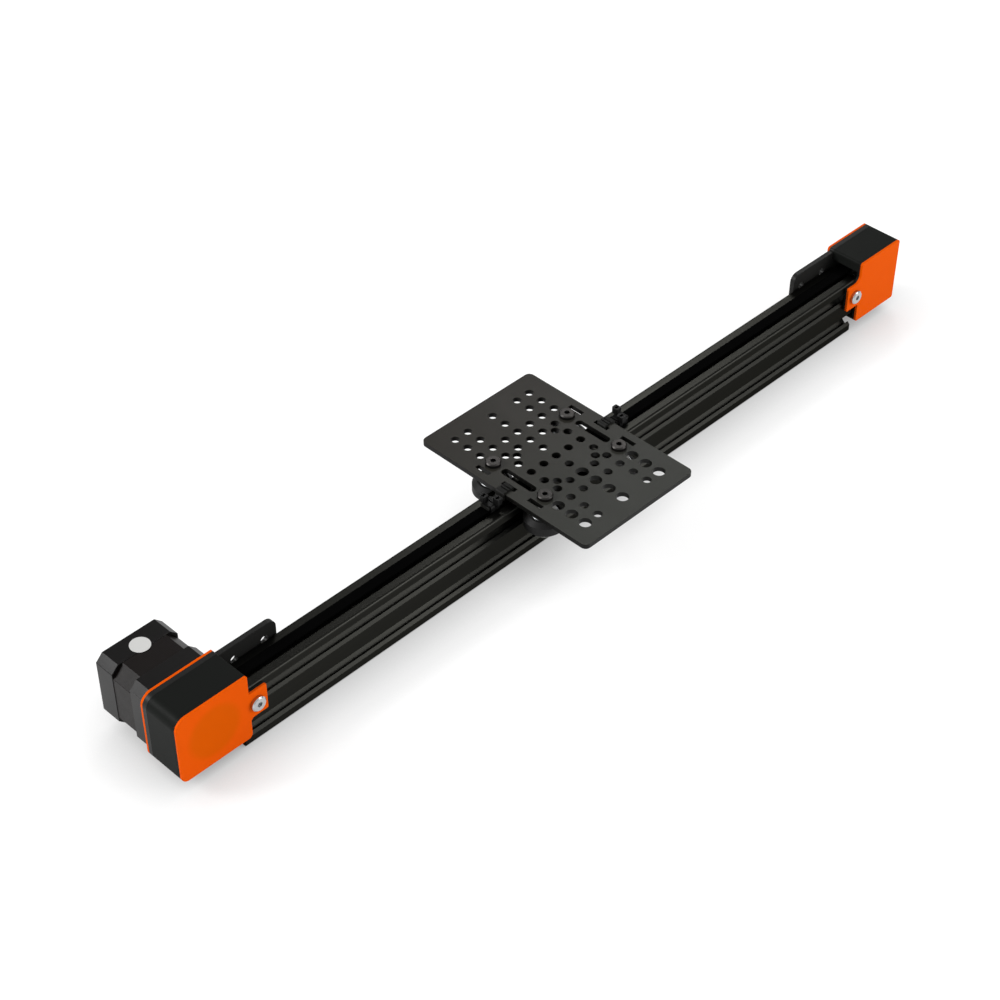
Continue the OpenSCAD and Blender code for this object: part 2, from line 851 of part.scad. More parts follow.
module plate_holes() {
    for (row = hole_rows) {
        for (c = row[1]) translate([c, row[0]] * hole_pitch) circle(d = small_hole_d);
        for (c = row[2]) translate([c, row[0]] * hole_pitch) circle(d = large_hole_d);
    }
    for (w = wheel_places) {
        if (w[0] > 0) translate(wheel_place(w)) circle(d = small_hole_d);
        if (w[0] < 0) translate(eccentric_place(w)) circle(d = large_hole_d);
    }
    at_motor_screws() circle(d = small_hole_d);
    for (s = [-1, 1]) {
        translate([s * wheel_column, 0]) long_slot();
        for (row = [-2, 0, 2]) translate([s * belt_slot_x, row * hole_pitch])
            square([belt_slot_width, belt_slot_length], center = true);
    }
}

module carriage_plate() {
    color(black_anodised) at_carriage() translate([0, 0, plate_z])
        linear_extrude(plate_thickness) difference() {
            rounded_rectangle([plate_length, plate_width], [for (i = [0:3]) plate_corner_r]);
            plate_holes();
        }
}

module wheel_screws() {
    color(dark_steel) at_carriage() for (w = wheel_places)
        translate(concat(wheel_place(w), plate_top)) low_screw(m5_screw, wheel_screw_length);
}

// Lock nut with a rounded collar
module lock_nut() {
    collar = nut_height / 4;
    difference() {
        union() {
            translate([0, 0, collar])
                cylinder(d = nut_flats / cos(30), h = nut_height - collar, $fn = 6);
            cylinder(d = nut_flats - 2 * running_fit, h = nut_height);
        }
        translate([0, 0, -cut]) cylinder(d = m5_bore_d, h = nut_height + 2 * cut);
    }
}

module wheel_nuts() {
    color(bright_steel) at_carriage() for (w = wheel_places)
        translate(concat(wheel_place(w), nut_z)) lock_nut();
}

module wheel_shims() {
    shim_d = 8;
    color(bright_steel) at_carriage() for (w = wheel_places)
        translate(wheel_place(w))
            tube(shim_d, m5_bore_d, spacer_z - shim_thickness + running_fit, spacer_z);
}

module fixed_spacers() {
    color(bright_steel) at_carriage() for (w = wheel_places) if (w[0] > 0)
        translate(wheel_place(w)) tube(spacer_d, m5_bore_d, spacer_z, plate_z);
}

module eccentric_spacers() {
    collar_height = plate_thickness - pass_gap;
    color(bright_steel) at_carriage() for (w = wheel_places) if (w[0] < 0) difference() {
        translate(concat(eccentric_place(w), spacer_z)) {
            cylinder(d = eccentric_flats / cos(30), h = spacer_length, $fn = 6);
            cylinder(d = large_hole_d - 2 * running_fit, h = spacer_length + collar_height);
        }
        translate(concat(wheel_place(w), spacer_z - cut))
            cylinder(d = m5_bore_d, h = spacer_length + plate_thickness + cut);
    }
}

// V wheel about the Z axis: its flanks follow the 45 degree walls of the slot
module v_wheel() {
    half = wheel_width / 2;
    rim_r = wheel_d / 2;
    edge_r = rim_r - (half - rim_half);
    seat_r = bearing_d / 2;
    lip_r = seat_r - shim_thickness;
    lip_half = shim_thickness / 2;
    rotate_extrude() polygon([
        [seat_r, -half], [edge_r, -half], [rim_r, -rim_half], [rim_r, rim_half],
        [edge_r, half], [seat_r, half], [seat_r, lip_half], [lip_r, lip_half],
        [lip_r, -lip_half], [seat_r, -lip_half]
    ]);
}

module at_wheel(w) {
    at_carriage() translate(concat(wheel_place(w), wheel_z)) children();
}

module wheel_rear_motor_side() {
    color(black_plastic) at_wheel(wheel_places[0]) v_wheel();
}

module wheel_rear_idler_side() {
    color(black_plastic) at_wheel(wheel_places[1]) v_wheel();
}

module wheel_front_motor_side() {
    color(black_plastic) at_wheel(wheel_places[2]) v_wheel();
}

module wheel_front_idler_side() {
    color(black_plastic) at_wheel(wheel_places[3]) v_wheel();
}

module bearings_rear_motor_side() {
    color(bright_steel) at_wheel(wheel_places[0]) bearing_pair();
}

module bearings_rear_idler_side() {
    color(bright_steel) at_wheel(wheel_places[1]) bearing_pair();
}

module bearings_front_motor_side() {
    color(bright_steel) at_wheel(wheel_places[2]) bearing_pair();
}

module bearings_front_idler_side() {
    color(bright_steel) at_wheel(wheel_places[3]) bearing_pair();
}

// ---------------------------------------------------------------- belt ends on the carriage

// Draws at one end of the plate: +X looks away from the carriage and x = 0 is the plate's edge
module at_plate_edge(side) {
    at_carriage() mirror([side < 0 ? 1 : 0, 0, 0]) translate([plate_length / 2, 0, 0]) children();
}

// The belt comes up through its slot, over the strip and down past the plate's edge, and its
// tail runs on over the upper run; its teeth look outwards
module belt_end() {
    t = belt_thickness;
    slot_x = belt_slot_x - plate_length / 2;
    outer_x = running_fit + t;
    top = plate_top + t;
    across(-belt_width / 2, belt_width / 2) difference() {
        union() {
            translate([slot_x - t / 2, tail_z]) square([t, top - t - tail_z + lap]);
            difference() {
                translate([slot_x - t / 2, plate_top]) square([outer_x - slot_x + t / 2, t]);
                translate([slot_x + t / 2, top - t]) mirror([1, 0]) round_corner(t);
                translate([outer_x - t, top - t]) round_corner(t);
            }
            translate([outer_x - t, tail_z]) square([t, top - t - tail_z + lap / 2]);
            translate([outer_x - t, tail_z]) square([belt_tail, t]);
            translate([outer_x, tail_z + t]) fillet(t / 2);
        }
        for (i = [0, 1])
            translate([slot_x / 2 + (i - 0.5) * belt_pitch, top]) gullet();
        for (i = [1:floor(belt_tail / belt_pitch) - 1])
            translate([outer_x + i * belt_pitch, tail_z + t]) gullet();
    }
}

// Groove between two teeth of a belt end, about the origin
module gullet() {
    square([belt_gullet, 2 * belt_tooth], center = true);
}

// What a rounded corner loses outside a radius about the origin
module round_corner(r) {
    difference() {
        square(r + cut);
        circle(r);
    }
}

module belt_end_motor_side() {
    color(belt_rubber) at_plate_edge(-1) belt_end();
}

module belt_end_idler_side() {
    color(belt_rubber) at_plate_edge(1) belt_end();
}

// Cable tie round the tail and the upper run, with its head on top at the front or the rear
module cable_tie(side) {
    half = belt_width / 2 + pass_gap;
    low = belt_run_top - belt_thickness - 2 * pass_gap;
    high = tail_z + belt_thickness;
    inner = [2 * half, high - low];
    outer = inner + [2, 2] * tie_thickness;
    inner_r = 0.75;
    outer_r = inner_r + tie_thickness;
    head = [tie_width + tie_gap, 4.4];
    head_height = 4;
    head_y = side * (half + lap / 2);
    translate([0, 0, (low + high) / 2]) along(-tie_width / 2, tie_width / 2) difference() {
        rounded_rectangle(outer, [for (i = [0:3]) outer_r]);
        rounded_rectangle(inner, [inner_r, inner_r, lap, lap]);
    }
    translate([0, head_y, high + tie_thickness / 2]) difference() {
        linear_extrude(head_height) rounded_rectangle(head, [for (i = [0:3]) inner_r]);
        translate([0, 0, head_height])
            cube([tie_width - lap, 2 * tie_thickness, head_height], center = true);
    }
}

// The two ties of a belt end: the inner one's head is at the front and the outer one's at the rear
module cable_ties() {
    for (i = [0, 1])
        translate([tie_inset + tie_width / 2 + i * tie_pitch, 0, 0]) cable_tie(i == 0 ? -1 : 1);
}

module cable_ties_motor_side() {
    color(black_plastic) at_plate_edge(-1) cable_ties();
}

module cable_ties_idler_side() {
    color(black_plastic) at_plate_edge(1) cable_ties();
}

// ---------------------------------------------------------------- drawing

rail();
belt();
front_plate_motor();
front_liner_motor();
cover_motor();
rear_bracket_motor();
rear_plate_motor();
front_plate_idler();
front_liner_idler();
cover_idler();
rear_bracket_idler();
rear_plate_idler();
slot_screws();
slot_nuts();
motor_front_cap();
motor_stack();
motor_rear_cap();
motor_body_screws();
motor_mount_screws();
motor_connector();
motor_shaft();
drive_pulley();
pulley_grub_screws();
idler_axle();
idler_spacers();
idler_wheel();
idler_bearings();
carriage_plate();
wheel_screws();
wheel_nuts();
fixed_spacers();
eccentric_spacers();
wheel_shims();
belt_end_motor_side();
belt_end_idler_side();
cable_ties_motor_side();
cable_ties_idler_side();
wheel_front_motor_side();
wheel_front_idler_side();
wheel_rear_motor_side();
wheel_rear_idler_side();
bearings_front_motor_side();
bearings_front_idler_side();
bearings_rear_motor_side();
bearings_rear_idler_side();
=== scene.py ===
"""Dresses a belt driven linear axis.

A carriage plate on V wheels runs along a slotted rail, pulled by a toothed belt between a motor
block and an idler block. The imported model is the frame: its nodes get their finishes here, the
nodes whose edges catch the light are stood for by copies with rounded edges, and the motor gets
its blank round sticker. All lengths are in metres.
"""

import json
import logging
import math
from dataclasses import dataclass
from enum import Enum

import bmesh
import bpy
from bpy.types import Material, Node, NodeOutputs, NodeSocket, NodeTree, Object
from mathutils import Matrix, Vector

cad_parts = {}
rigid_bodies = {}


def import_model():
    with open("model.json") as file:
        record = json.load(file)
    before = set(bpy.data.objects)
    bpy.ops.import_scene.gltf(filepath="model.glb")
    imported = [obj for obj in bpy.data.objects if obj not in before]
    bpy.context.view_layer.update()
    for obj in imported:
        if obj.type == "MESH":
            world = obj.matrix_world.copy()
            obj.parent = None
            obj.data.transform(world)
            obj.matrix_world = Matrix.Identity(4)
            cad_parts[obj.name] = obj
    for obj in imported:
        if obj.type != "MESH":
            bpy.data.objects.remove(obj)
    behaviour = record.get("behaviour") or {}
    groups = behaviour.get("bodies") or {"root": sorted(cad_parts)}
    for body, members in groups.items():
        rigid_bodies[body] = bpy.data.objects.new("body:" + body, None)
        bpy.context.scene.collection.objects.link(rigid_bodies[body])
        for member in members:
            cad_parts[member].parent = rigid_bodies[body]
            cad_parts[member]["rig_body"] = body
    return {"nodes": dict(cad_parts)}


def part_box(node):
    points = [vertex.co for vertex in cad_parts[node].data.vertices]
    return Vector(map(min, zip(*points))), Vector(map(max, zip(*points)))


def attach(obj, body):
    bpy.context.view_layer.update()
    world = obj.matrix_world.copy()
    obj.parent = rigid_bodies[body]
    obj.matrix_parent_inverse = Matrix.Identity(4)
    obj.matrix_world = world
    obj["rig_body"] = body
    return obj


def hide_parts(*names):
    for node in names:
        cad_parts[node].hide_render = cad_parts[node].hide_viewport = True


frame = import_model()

MM = 0.001
WHITE = (1.0, 1.0, 1.0, 1.0)
BLACK = (0.0, 0.0, 0.0, 1.0)
FULL_SPAN = (0.0, 1.0)
log = logging.getLogger("linear_axis")


# ---------------------------------------------------------------- node trees


class Surface(Enum):
    """How a finish is textured. The value names the surface's node group."""

    GRAINED = "grained"
    DRAWN = "drawn"
    LAMINATED = "laminated"


class Axis(Enum):
    """An axis of the frame. The value is its place in a vector."""

    X = 0
    Y = 1
    Z = 2


def linear(hex_colour: str) -> tuple[float, float, float, float]:
    """Turn a display colour into the linear colour that shaders use.

    Args:
        hex_colour: Six hexadecimal digits, red first.

    Returns:
        Red, green, blue and alpha, linear.
    """
    channels = [int(hex_colour[i : i + 2], 16) / 255 for i in (0, 2, 4)]
    red, green, blue = (c / 12.92 if c <= 0.04045 else ((c + 0.055) / 1.055) ** 2.4 for c in channels)
    return (red, green, blue, 1.0)


class Tree:
    """A node tree under construction, in a material, a world or a group."""

    def __init__(self, tree: NodeTree) -> None:
        """Wrap the tree.

        Args:
            tree: The tree that the nodes go into.
        """
        self.tree = tree

    def add(self, kind: str, **inputs: object) -> Node:
        """Add a node and fill its inputs.

        Args:
            kind: The node's type, such as "ShaderNodeBump".
            inputs: Values or output sockets, by input name with underscores for spaces.

        Returns:
            The new node.
        """
        node = self.tree.nodes.new(kind)
        for name, value in inputs.items():
            self.feed(node, name.replace("_", " "), value)
        return node

    def feed(self, node: Node, name: str | int, value: object) -> None:
        """Set or link one input of a node.

        Args:
            node: The node that takes the value.
            name: The input's name or index.
            value: A constant or an output socket.
        """
        socket = node.inputs[name]
        if isinstance(value, NodeSocket):
            self.tree.links.new(value, socket)
        else:
            socket.default_value = value

    def place(self, kind: str) -> NodeSocket:
        """Add a texture coordinate.

        Args:
            kind: "Object", "Normal" or "Generated".

        Returns:
            The coordinate's socket.
        """
        return self.add("ShaderNodeTexCoord").outputs[kind]

    def axes(self, vector: NodeSocket) -> NodeOutputs:
        """Split a vector.

        Args:
            vector: The socket to split.

        Returns:
            Its parts' sockets, under "X", "Y" and "Z".
        """
        return self.add("ShaderNodeSeparateXYZ", Vector=vector).outputs

    def math(self, operation: str, first: object, second: object = 0.0) -> NodeSocket:
        """Add a Math node.

        Args:
            operation: The node's operation, such as "MULTIPLY".
            first: First value or socket.
            second: Second value or socket, where the operation takes one.

        Returns:
            The node's output socket.
        """
        node = self.add("ShaderNodeMath")
        node.operation = operation
        self.feed(node, 0, first)
        self.feed(node, 1, second)
        return node.outputs[0]

    def measure(self, operation: str, first: object, second: object = (0.0, 0.0, 0.0)) -> NodeSocket:
        """Add a Vector Math node that gives a number.

        Args:
            operation: The node's operation, such as "LENGTH".
            first: First vector or socket.
            second: Second vector or socket, where the operation takes one.

        Returns:
            The number's socket.
        """
        node = self.add("ShaderNodeVectorMath")
        node.operation = operation
        self.feed(node, 0, first)
        self.feed(node, 1, second)
        return node.outputs["Value"]

    def remap(
        self,
        value: NodeSocket,
        target: tuple[float, float],
        source: tuple[float, float] = FULL_SPAN,
        smooth: bool = False,
    ) -> NodeSocket:
        """Map one span of a value onto another.

        Args:
            value: The socket to map.
            target: What the span's ends become.
            source: The span that the value moves in.
            smooth: Whether the mapping eases in and out.

        Returns:
            The mapped socket.
        """
        node = self.add("ShaderNodeMapRange", Value=value)
        node.interpolation_type = "SMOOTHSTEP" if smooth else "LINEAR"
        for name, limit in zip(("From Min", "From Max", "To Min", "To Max"), source + target):
            node.inputs[name].default_value = limit
        return node.outputs["Result"]

    def mix(self, factor: object, first: object, second: object, blend: str = "MIX") -> NodeSocket:
        """Mix two colours.

        Args:
            factor: Share of the second colour.
            first: First colour or socket.
            second: Second colour or socket.
            blend: How the second colour goes over the first.

        Returns:
            The mixed colour's socket.
        """
        node = self.add("ShaderNodeMix")
        node.data_type = "RGBA"
        node.blend_type = blend
        self.feed(node, 0, factor)
        self.feed(node, 6, first)
        self.feed(node, 7, second)
        return node.outputs[2]


@dataclass
class SurfaceGroup:
    """A surface's node group: from a place to grain and soft clouds, both of 0 to 1."""

    surface: Surface

    def __post_init__(self) -> None:
        """Start the group with its sockets."""
        group = bpy.data.node_groups.new(self.surface.value, "ShaderNodeTree")
        group.interface.new_socket(name="Place", in_out="INPUT", socket_type="NodeSocketVector")
        for name in ("Grain Size", "Cloud Size"):
            group.interface.new_socket(name=name, in_out="INPUT", socket_type="NodeSocketFloat")
        for name in ("Grain", "Clouds"):
            group.interface.new_socket(name=name, in_out="OUTPUT", socket_type="NodeSocketFloat")
        self.tree = Tree(group)
        self.given = self.tree.add("NodeGroupInput").outputs
        self.result = self.tree.add("NodeGroupOutput")

    def build(self) -> NodeTree:
        """Fill the group.

        Returns:
            The finished group.
        """
        if self.surface is Surface.GRAINED:
            grain = self.noise("Grain Size", 2.0)
            clouds = self.noise("Cloud Size", 4.0)
        elif self.surface is Surface.DRAWN:
            grain = self.noise("Grain Size", 3.0, roughness=0.7)
            clouds = self.noise("Cloud Size", 3.0)
        else:
            grain = self.seams()
            clouds = self.noise("Cloud Size", 5.0)
        self.tree.feed(self.result, "Grain", grain)
        self.tree.feed(self.result, "Clouds", clouds)
        return self.tree.tree

    def noise(self, size: str, detail: float, roughness: float = 0.5) -> NodeSocket:
        """Add noise.

        Args:
            size: The group's input that gives the size of its grains.
            detail: Number of finer layers.
            roughness: Strength of the finer layers.

        Returns:
            The noise's socket.
        """
        scale = self.tree.math("DIVIDE", 1.0, self.given[size])
        node = self.tree.add("ShaderNodeTexNoise", Scale=scale, Detail=detail, Roughness=roughness)
        self.tree.feed(node, "Vector", self.given["Place"])
        return node.outputs["Fac"]

    def seams(self) -> NodeSocket:
        """Add the ridges of sheets stacked along Y, each as thick as the grain.

        Returns:
            The ridges' socket.
        """
        along = self.tree.axes(self.given["Place"])["Y"]
        sheet = self.tree.math("DIVIDE", along, self.given["Grain Size"])
        return self.tree.math("PINGPONG", sheet, 1.0)


def surface_group(surface: Surface) -> NodeTree:
    """Return a surface's node group, built the first time.

    Args:
        surface: How the finish is textured.

    Returns:
        The group.
    """
    known = bpy.data.node_groups.get(surface.value)
    if known is not None:
        return known
    return SurfaceGroup(surface).build()


# ---------------------------------------------------------------- finishes


@dataclass(frozen=True)
class Finish:
    """A material's colours, gloss and texture.

    Attributes:
        name: The finish's name.
        colour: Display colour where the clouds are thin.
        shade: Display colour where the clouds are thick.
        roughness: Roughness where the clouds are thin and where they are thick.
        metallic: 1 for bare or anodised metal.
        surface: How it is textured.
        grain: Size of the grain, or thickness of a stacked sheet.
        clouds: Size of the clouds.
        depth: Height of the grain.
        lines: Direction that drawn lines run in.
        stretch: How much longer drawn lines are than wide.
        specular: Strength of the sheen of what isn't metal.
        tint: Brightness of the sheen at a grazing angle.
        wall: Brightness of upright faces as a share of the level ones; below 1 it paints shade on them.
    """

    name: str
    colour: str
    shade: str
    roughness: tuple[float, float]
    metallic: float = 0.0
    surface: Surface = Surface.GRAINED
    grain: float = 0.6 * MM
    clouds: float = 25 * MM
    depth: float = 0.02 * MM
    lines: Axis = Axis.X
    stretch: float = 60.0
    specular: float = 0.5
    tint: float = 1.0
    wall: float = 1.0

    def material(self) -> Material:
        """Return the finish's material, built the first time.

        Returns:
            The material.
        """
        title = f"finish_{self.name}"
        known = bpy.data.materials.get(title)
        if known is not None:
            return known
        material = bpy.data.materials.new(title)
        material.use_nodes = True
        tree = Tree(material.node_tree)
        shader = material.node_tree.nodes["Principled BSDF"]
        texture = self.texture(tree).outputs
        colour = tree.mix(texture["Clouds"], linear(self.colour), linear(self.shade))
        # Painted shade: upright faces, hole walls and outer edges among them, are darkened towards black.
        if self.wall < 1.0:
            colour = self.paint_wall_shade(tree, colour)
        tree.feed(shader, "Base Color", colour)
        tree.feed(shader, "Roughness", tree.remap(texture["Clouds"], self.roughness))
        bump = tree.add("ShaderNodeBump", Strength=1.0, Distance=self.depth, Height=texture["Grain"])
        tree.feed(shader, "Normal", bump.outputs["Normal"])
        tree.feed(shader, "Metallic", self.metallic)
        tree.feed(shader, "Specular IOR Level", self.specular)
        tree.feed(shader, "Specular Tint", (self.tint, self.tint, self.tint, 1.0))
        self.mark(tree, shader, colour)
        return material

    def paint_wall_shade(self, tree: Tree, colour: NodeSocket) -> NodeSocket:
        """Paint shade on the faces that stand upright, such as the walls of holes and the outer edges.

        Args:
            tree: The material's tree.
            colour: The finish's own colour.

        Returns:
            The colour with dark walls.
        """
        level = tree.math("ABSOLUTE", tree.axes(tree.place("Normal"))["Z"])
        return tree.mix(tree.remap(level, (1.0 - self.wall, 0.0)), colour, BLACK)

    def mark(self, tree: Tree, shader: Node, colour: NodeSocket) -> None:
        """Change the shader from place to place: a plain finish is the same all over.

        Args:
            tree: The material's tree.
            shader: The shader to change.
            colour: The finish's own colour.
        """

    def texture(self, tree: Tree) -> Node:
        """Place the surface's node group on Object coordinates.

        Args:
            tree: The material's tree.

        Returns:
            The group's node.
        """
        place = tree.place("Object")
        if self.surface is Surface.DRAWN:
            squeeze = [1.0, 1.0, 1.0]
            squeeze[self.lines.value] = 1 / self.stretch
            place = tree.add("ShaderNodeMapping", Vector=place, Scale=squeeze).outputs["Vector"]
        node = tree.add("ShaderNodeGroup")
        node.node_tree = surface_group(self.surface)
        tree.feed(node, "Place", place)
        tree.feed(node, "Grain Size", self.grain)
        tree.feed(node, "Cloud Size", self.clouds)
        return node


@dataclass(frozen=True)
class PaintedReflectionFinish(Finish):
    """A finish whose tone drifts along Y, a painted reflection that darkens it towards +Y.

    Attributes:
        far: Display colour that the finish is multiplied by at the end, the painted reflection's darkest
            tone.
        start: Y where the drift starts.
        end: Y where it ends.
    """

    far: str = "ffffff"
    start: float = -60 * MM
    end: float = 60 * MM

    def mark(self, tree: Tree, shader: Node, colour: NodeSocket) -> None:
        """Paint the reflection's drift into the colour.

        Args:
            tree: The material's tree.
            shader: The shader to change.
            colour: The finish's own colour.
        """
        # Painted reflection: the colour is multiplied towards the far tone along Y.
        along = tree.axes(tree.place("Object"))["Y"]
        share = tree.remap(along, FULL_SPAN, (self.start, self.end), smooth=True)
        tree.feed(shader, "Base Color", tree.mix(share, colour, linear(self.far), blend="MULTIPLY"))


@dataclass(frozen=True)
class DiscFinish(Finish):
    """A finish with a round patch of another tone.

    Attributes:
        patch: Display colour of the patch.
        about: Axis that the patch is round about, Y or Z.
        centre: X and the other place of that axis.
        inner: Radius of the patch's hole; it has none where this is well below 0.
        outer: Radius of the patch.
        edge: Half the width of its soft edge.
        patch_metallic: 1 where the patch is metal.
    """

    patch: str = "d65700"
    about: Axis = Axis.Y
    centre: tuple[float, float] = (0.0, 0.0)
    inner: float = -10 * MM
    outer: float = 16 * MM
    edge: float = 3 * MM
    patch_metallic: float = 0.0

    def mark(self, tree: Tree, shader: Node, colour: NodeSocket) -> None:
        """Lay the patch over the colour.

        Args:
            tree: The material's tree.
            shader: The shader to change.
            colour: The finish's own colour.
        """
        axes = tree.axes(tree.place("Object"))
        across = tree.math("SUBTRACT", axes["X"], self.centre[0])
        along = tree.math("SUBTRACT", axes["Z" if self.about is Axis.Y else "Y"], self.centre[1])
        squares = [tree.math("MULTIPLY", part, part) for part in (across, along)]
        distance = tree.math("SQRT", tree.math("ADD", *squares))
        inside = self.step(tree, distance, self.outer + self.edge, self.outer - self.edge)
        outside = self.step(tree, distance, self.inner - self.edge, self.inner + self.edge)
        within = tree.math("MULTIPLY", inside, outside)
        tree.feed(shader, "Base Color", tree.mix(within, colour, linear(self.patch)))
        if self.metallic != self.patch_metallic:
            tree.feed(shader, "Metallic", tree.remap(within, (self.metallic, self.patch_metallic)))

    def step(self, tree: Tree, distance: NodeSocket, off: float, on: float) -> NodeSocket:
        """Add a soft step.

        Args:
            tree: The material's tree.
            distance: The distance from the axis.
            off: Distance where the step gives 0.
            on: Distance where it gives 1.

        Returns:
            The step's socket.
        """
        return tree.remap(distance, FULL_SPAN, (off, on), smooth=True)


ANODISED = Finish(
    "black_anodised", "2f2f2c", "282826", (0.32, 0.40), metallic=1.0, surface=Surface.DRAWN,
    grain=0.5 * MM, clouds=6 * MM, depth=0.004 * MM, tint=0.38,
)
BRACKET = Finish(
    "bracket_anodised", "222221", "1d1d1c", (0.36, 0.46), surface=Surface.DRAWN, grain=0.5 * MM,
    clouds=6 * MM, depth=0.006 * MM, specular=0.14,
)
# The plate has painted shade on its upright faces and a painted reflection that darkens it towards the
# rear.
PLATE = PaintedReflectionFinish(
    "plate_anodised", "32332f", "2d2e2a", (0.40, 0.50), surface=Surface.DRAWN, grain=0.4 * MM,
    clouds=30 * MM, depth=0.008 * MM, lines=Axis.Y, stretch=3.0, specular=0.14, wall=0.15,
    far="d0c2bc",
)
ORANGE = Finish(
    "orange_coat", "e25703", "dd5203", (0.38, 0.46), grain=0.35 * MM, depth=0.006 * MM,
    specular=0.012,
)
COVER = Finish(
    "cover_plastic", "1a1c1a", "171817", (0.42, 0.5), grain=0.3 * MM, depth=0.01 * MM,
    specular=0.04,
)
BELT = Finish(
    "belt_rubber", "040404", "020202", (0.6, 0.75), grain=0.4 * MM, depth=0.02 * MM,
    specular=0.01,
)
BELT_END = Finish(
    "belt_backing", "191917", "121211", (0.5, 0.65), grain=0.4 * MM, depth=0.02 * MM,
    specular=0.16,
)
MOTOR_CAP = Finish(
    "motor_cap", "0d0b0a", "090808", (0.34, 0.42), grain=0.5 * MM, depth=0.01 * MM,
    specular=0.22,
)
STACK = Finish(
    "motor_stack", "130e0c", "0e0a09", (0.36, 0.5), surface=Surface.LAMINATED, grain=0.5 * MM,
    clouds=8 * MM, depth=0.03 * MM, specular=0.17,
)
STEEL = Finish(
    "bright_steel", "c9cacb", "adafb1", (0.18, 0.28), metallic=1.0, grain=0.3 * MM,
    depth=0.004 * MM,
)
DARK_STEEL = Finish(
    "black_oxide_steel", "403e3d", "343332", (0.36, 0.46), metallic=1.0, grain=0.3 * MM,
    depth=0.006 * MM, tint=0.4,
)
# Dull steel darkened by painted shade, for the nuts, shims and spacers under the plate.
SHADED_DULL_STEEL = Finish(
    "dull_steel_painted_shade", "6e6e6c", "5e5e5c", (0.3, 0.4), metallic=1.0, grain=0.3 * MM,
    depth=0.005 * MM,
)
ALUMINIUM = Finish(
    "machined_aluminium", "c2c4c6", "a9abad", (0.24, 0.34), metallic=1.0, grain=0.3 * MM,
    depth=0.005 * MM,
)
WHEEL = Finish(
    "wheel_plastic", "242424", "1b1b1b", (0.48, 0.58), grain=0.5 * MM, depth=0.006 * MM,
    specular=0.15,
)
TIE = Finish(
    "tie_plastic", "131313", "0e0e0e", (0.4, 0.5), grain=0.4 * MM, depth=0.01 * MM,
    specular=0.12,
)
SOCKET = Finish(
    "socket_plastic", "d8d5cc", "cbc8bf", (0.4, 0.5), grain=0.4 * MM, depth=0.006 * MM,
)
STICKER = Finish(
    "sticker_paper", "cfcfcd", "c6c6c4", (0.4, 0.5), grain=0.3 * MM, depth=0.004 * MM,
    specular=0.1,
)


# ---------------------------------------------------------------- meshes


# Points closer together than this are one point
MERGE_DISTANCE = 0.0005 * MM
# Faces that turn by less than this are one face
FLAT_ANGLE = math.radians(0.5)
# Edges that turn by more than this are rounded
ROUNDED_ANGLE = math.radians(30)
# Edges that turn by less than this are shaded smooth
SMOOTH_ANGLE = math.radians(40)


def middle(node: str) -> Vector:
    """Find the middle of a node's box.

    Args:
        node: The node's name.

    Returns:
        The middle.
    """
    low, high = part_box(node)
    return (low + high) / 2


def dress(node: str, finish: Finish) -> None:
    """Give a node of the frame its finish.

    Args:
        node: The node's name.
        finish: The finish that goes on all its faces.
    """
    data = frame["nodes"][node].data
    data.materials.clear()
    data.materials.append(finish.material())
    log.info("dressed %s in %s", node, finish.name)


def add_piece(mesh: bmesh.types.BMesh, name: str, finish: Finish, body: str) -> Object:
    """Turn a bmesh into a piece that rides on a body.

    Args:
        mesh: The finished bmesh; it is freed.
        name: The piece's name.
        finish: Its finish.
        body: The body that it rides on.

    Returns:
        The piece.
    """
    data = bpy.data.meshes.new(name)
    mesh.to_mesh(data)
    mesh.free()
    data.materials.append(finish.material())
    data.shade_smooth()
    data.set_sharp_from_angle(angle=SMOOTH_ANGLE)
    piece = bpy.data.objects.new(name, data)
    bpy.context.scene.collection.objects.link(piece)
    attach(piece, body)
    log.info("made %s", name)
    return piece


def soften(node: str, finish: Finish, width: float) -> None:
    """Stand a copy with rounded edges in a node's place.

    Args:
        node: The node to copy.
        finish: The copy's finish.
        width: Width of the rounding.
    """
    source = frame["nodes"][node]
    mesh = bmesh.new()
    mesh.from_mesh(source.data)
    bmesh.ops.remove_doubles(mesh, verts=mesh.verts, dist=MERGE_DISTANCE)
    bmesh.ops.dissolve_limit(mesh, angle_limit=FLAT_ANGLE, verts=mesh.verts, edges=mesh.edges)
    sharp = [e for e in mesh.edges if e.is_manifold and e.calc_face_angle() > ROUNDED_ANGLE]
    bmesh.ops.bevel(
        mesh, geom=sharp, offset=width, offset_type="OFFSET", segments=2, profile=0.5,
        affect="EDGES", clamp_overlap=True, material=-1,
    )
    piece = add_piece(mesh, f"{node}_shell", finish, source["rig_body"])
    weighted = piece.modifiers.new("weighted normals", "WEIGHTED_NORMAL")
    weighted.keep_sharp = True
    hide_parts(node)


# ---------------------------------------------------------------- sub-assemblies


class End(Enum):
    """An end of the rail, as node names give it."""

    MOTOR = "motor"
    IDLER = "idler"


class Side(Enum):
    """A side of the rail, as node names give it."""

    FRONT = "front"
    REAR = "rear"


@dataclass
class Rail:
    """The slotted rail."""

    finish: Finish = ANODISED

    def build(self) -> None:
        """Dress the rail."""
        dress("rail", self.finish)


